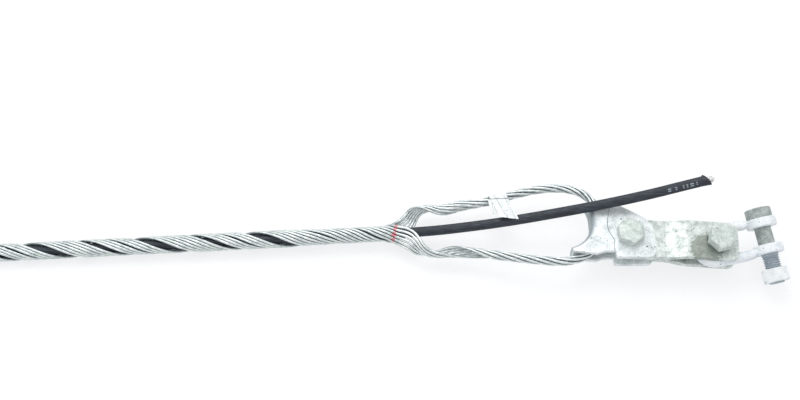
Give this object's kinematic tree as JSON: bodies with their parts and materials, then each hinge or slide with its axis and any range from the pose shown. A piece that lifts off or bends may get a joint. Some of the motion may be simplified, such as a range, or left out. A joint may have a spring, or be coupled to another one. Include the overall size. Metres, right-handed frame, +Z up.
{
  "type": "cable dead-end assembly",
  "caption": "Helical wire grip on a round cable, looped round a cast thimble and joined by bolted strap links to a shackle, for anchoring an overhead cable.",
  "frame": {"origin": "on the axis of the thimble bolt, at its threaded end, which rests on the floor", "axes": "+X along the assembly from the cable towards the shackle, +Z up along the thimble bolt, +Y towards the cable's free tail"},
  "size_m": [0.9632, 0.1202, 0.0811],
  "materials": {
    "cable_jacket": "black polyethylene jacket, satin",
    "cable_core": "cut strength member",
    "wire_zinc_coat": "bright zinc coated drawn wire",
    "tag_film": "white film tag",
    "cast_zinc_coat": "hot dip zinc coat on a casting",
    "strap_zinc_coat": "hot dip zinc coat on strap",
    "bolt_zinc_coat": "hot dip zinc coat on bolts",
    "forged_zinc_coat": "hot dip zinc coat on a forging",
    "dull_zinc_coat": "dull grey zinc coat"
  },
  "bodies": {
    "grip": {"cable_in_grip": "cable_jacket", "cable_tail": "cable_jacket", "cable_core_stub": "cable_core", "grip_wire_1": "wire_zinc_coat", "grip_wire_2": "wire_zinc_coat", "grip_wire_3": "wire_zinc_coat", "grip_wire_4": "wire_zinc_coat", "grip_wire_5": "wire_zinc_coat", "grip_wire_6": "wire_zinc_coat", "marking_tag": "tag_film", "thimble": "cast_zinc_coat", "thimble_bolt": "bolt_zinc_coat", "thimble_washer": "bolt_zinc_coat", "thimble_nut": "bolt_zinc_coat"},
    "link": {"strap_upper": "strap_zinc_coat", "strap_lower": "strap_zinc_coat", "link_bolt": "bolt_zinc_coat", "link_nut": "bolt_zinc_coat"},
    "shackle": {"shackle": "forged_zinc_coat", "shackle_bolt": "dull_zinc_coat", "shackle_nut": "bolt_zinc_coat"}
  },
  "joints": [
    {"name": "link_swing", "type": "hinge", "parent": "grip", "child": "link", "pos_m": [0, 0, 0.035], "axis": [0, 0, 1], "range_deg": [-90, 75]},
    {"name": "shackle_swing", "type": "hinge", "parent": "link", "child": "shackle", "pos_m": [0.0918, -0.0093, 0.035], "axis": [0, 0, 1], "range_deg": [-100, 75]}
  ]
}
